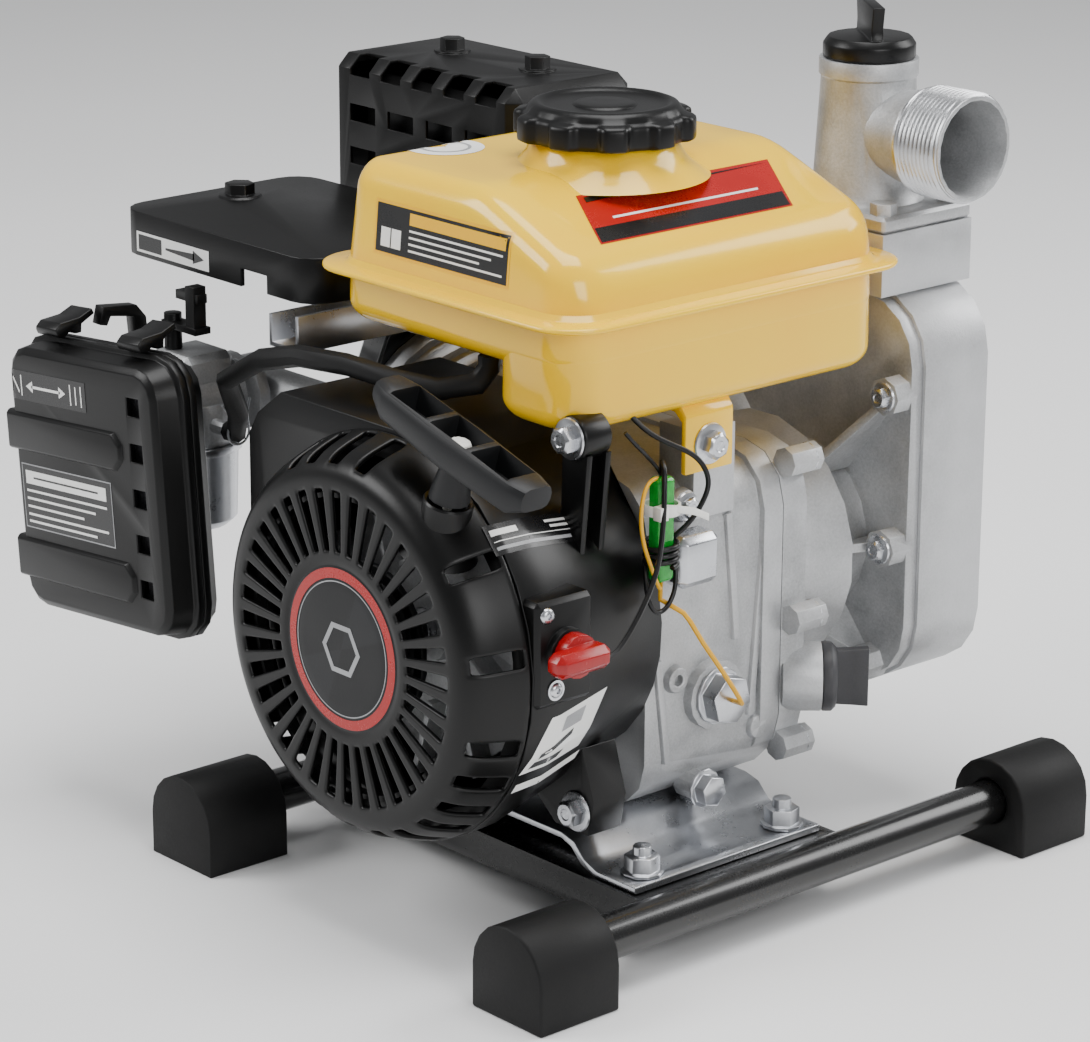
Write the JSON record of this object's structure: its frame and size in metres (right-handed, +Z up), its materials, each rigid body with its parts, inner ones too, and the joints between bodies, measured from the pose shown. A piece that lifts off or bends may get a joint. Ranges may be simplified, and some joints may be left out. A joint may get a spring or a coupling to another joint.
{
  "type": "petrol engine water pump",
  "caption": "Small air-cooled petrol engine with pull starter, driving a self-priming water pump, on a tubular carrying frame with rubber feet.",
  "frame": {"origin": "centre of the bounding box in plan, at floor height under the rubber feet", "axes": "+Z up; the crankshaft and both frame rails run along Y with the recoil starter facing -Y and the pump at +Y; +X is the side of the oil filler and of the discharge outlet"},
  "size_m": [0.3704, 0.3576, 0.356],
  "materials": {
    "black_paint": "gloss black enamel",
    "yellow_paint": "gloss yellow enamel",
    "heat_black": "heat-proof black, satin",
    "zinc_steel": "bright zinc plate",
    "machined_steel": "turned",
    "cast_aluminium": "blasted casting",
    "rubber": "matt black",
    "black_plastic": "satin black moulding",
    "dark_plastic": "charcoal moulding",
    "grey_plastic": "dark grey moulding",
    "red_plastic": "red moulding",
    "green_plastic": "clear green moulding",
    "yellow_wire": "yellow insulation",
    "brass": "turned",
    "foam": "open-cell foam",
    "rope": "braided cord"
  },
  "bodies": {
    "engine": {"air_box_base": "black_plastic", "air_filter_element": "foam", "blower_housing": "black_plastic", "carburettor": "cast_aluminium", "control_cover": "black_plastic", "cradle_bolt_front_left": "zinc_steel", "cradle_bolt_front_right": "zinc_steel", "cradle_bolt_rear_left": "zinc_steel", "cradle_bolt_rear_right": "zinc_steel", "crankcase": "cast_aluminium", "crankcase_cover": "cast_aluminium", "cross_channel": "black_paint", "cylinder_head": "cast_aluminium", "discharge_outlet": "cast_aluminium", "engine_cradle": "zinc_steel", "float_bowl": "zinc_steel", "fuel_hose": "rubber", "fuel_tank": "yellow_paint", "governor_bracket": "zinc_steel", "ignition_module": "zinc_steel", "inlet_flange": "cast_aluminium", "intake_elbow": "cast_aluminium", "muffler": "heat_black", "muffler_guard": "heat_black", "oil_drain_bolt": "zinc_steel", "oil_level_sensor": "zinc_steel", "piston": "cast_aluminium", "pump_adapter": "cast_aluminium", "pump_casing": "cast_aluminium", "pump_drain_plug": "brass", "rail_left": "black_paint", "rail_right": "black_paint", "recoil_cover": "dark_plastic", "rocker_cover": "black_paint", "rubber_foot_front_left": "rubber", "rubber_foot_front_right": "rubber", "rubber_foot_rear_left": "rubber", "rubber_foot_rear_right": "rubber", "sensor_wire": "yellow_wire", "spark_plug": "machined_steel", "spark_plug_cap": "rubber", "switch_plate": "black_plastic", "switch_wire": "rubber", "wire_connector": "green_plastic"},
    "crank": {"crankshaft": "machined_steel", "flywheel": "cast_aluminium", "impeller": "cast_aluminium"},
    "rod": {"connecting_rod": "cast_aluminium"},
    "pulley": {"starter_pulley": "dark_plastic"},
    "pull": {"pull_handle": "dark_plastic", "starter_rope": "rope"},
    "knob": {"switch_knob": "red_plastic"},
    "choke": {"choke_lever": "black_plastic"},
    "throttle": {"throttle_lever": "black_plastic"},
    "lid": {"air_box_lid": "black_plastic"},
    "latch_left": {"air_box_latch_left": "black_plastic"},
    "latch_right": {"air_box_latch_right": "black_plastic"},
    "tank_cap": {"fuel_cap": "dark_plastic"},
    "water_cap": {"priming_cap": "black_plastic"},
    "dipstick": {"oil_dipstick": "grey_plastic"}
  },
  "joints": [
    {"name": "crank_spin", "type": "hinge", "parent": "engine", "child": "crank", "pos_m": [0.05852, -0.01945, 0.125], "axis": [0, 1, 0], "continuous": true},
    {"name": "rod_swing", "type": "hinge", "parent": "crank", "child": "rod", "pos_m": [0.04275, -0.02345, 0.13235], "axis": [0, 1, 0], "continuous": true},
    {"name": "handle_pull", "type": "slide", "parent": "engine", "child": "pull", "axis": [0.2756, 0, 0.9613], "range_m": [0, 0.5], "stiffness_N_per_m": 20, "springref_m": -0.3},
    {"name": "pulley_spin", "type": "hinge", "parent": "engine", "child": "pulley", "pos_m": [0.05852, -0.16345, 0.125], "axis": [0, 1, 0], "range_deg": [0, 960]},
    {"name": "switch_turn", "type": "hinge", "parent": "engine", "child": "knob", "pos_m": [0.14612, -0.13245, 0.138], "axis": [1, 0, 0], "range_deg": [0, 60]},
    {"name": "choke_swing", "type": "hinge", "parent": "engine", "child": "choke", "pos_m": [-0.14908, -0.11645, 0.182], "axis": [1, 0, 0], "range_deg": [-40, 0]},
    {"name": "throttle_swing", "type": "hinge", "parent": "engine", "child": "throttle", "pos_m": [-0.13548, -0.11245, 0.2003], "axis": [0, 0, 1], "range_deg": [-25, 25]},
    {"name": "lid_lift", "type": "slide", "parent": "engine", "child": "lid", "axis": [0, -1, 0], "range_m": [0, 0.06]},
    {"name": "latch_left_swing", "type": "hinge", "parent": "lid", "child": "latch_left", "pos_m": [-0.16107, -0.15945, 0.21092], "axis": [0.9962, 0, 0.0872], "range_deg": [0, 60]},
    {"name": "latch_right_swing", "type": "hinge", "parent": "lid", "child": "latch_right", "pos_m": [-0.1003, -0.15945, 0.21624], "axis": [0.9962, 0, 0.0872], "range_deg": [0, 60]},
    {"name": "tank_cap_lift", "type": "slide", "parent": "engine", "child": "tank_cap", "axis": [0, 0, 1], "range_m": [0, 0.05]},
    {"name": "water_cap_lift", "type": "slide", "parent": "engine", "child": "water_cap", "axis": [0, 0, 1], "range_m": [0, 0.05]},
    {"name": "dipstick_lift", "type": "slide", "parent": "engine", "child": "dipstick", "axis": [0.6606, 0.7507, 0], "range_m": [0, 0.05]}
  ],
  "couplings": [
    {"joint": "rod_swing", "follows": "crank_spin", "ratio": -1},
    {"joint": "pulley_spin", "follows": "handle_pull", "rad_per_m": 33}
  ]
}
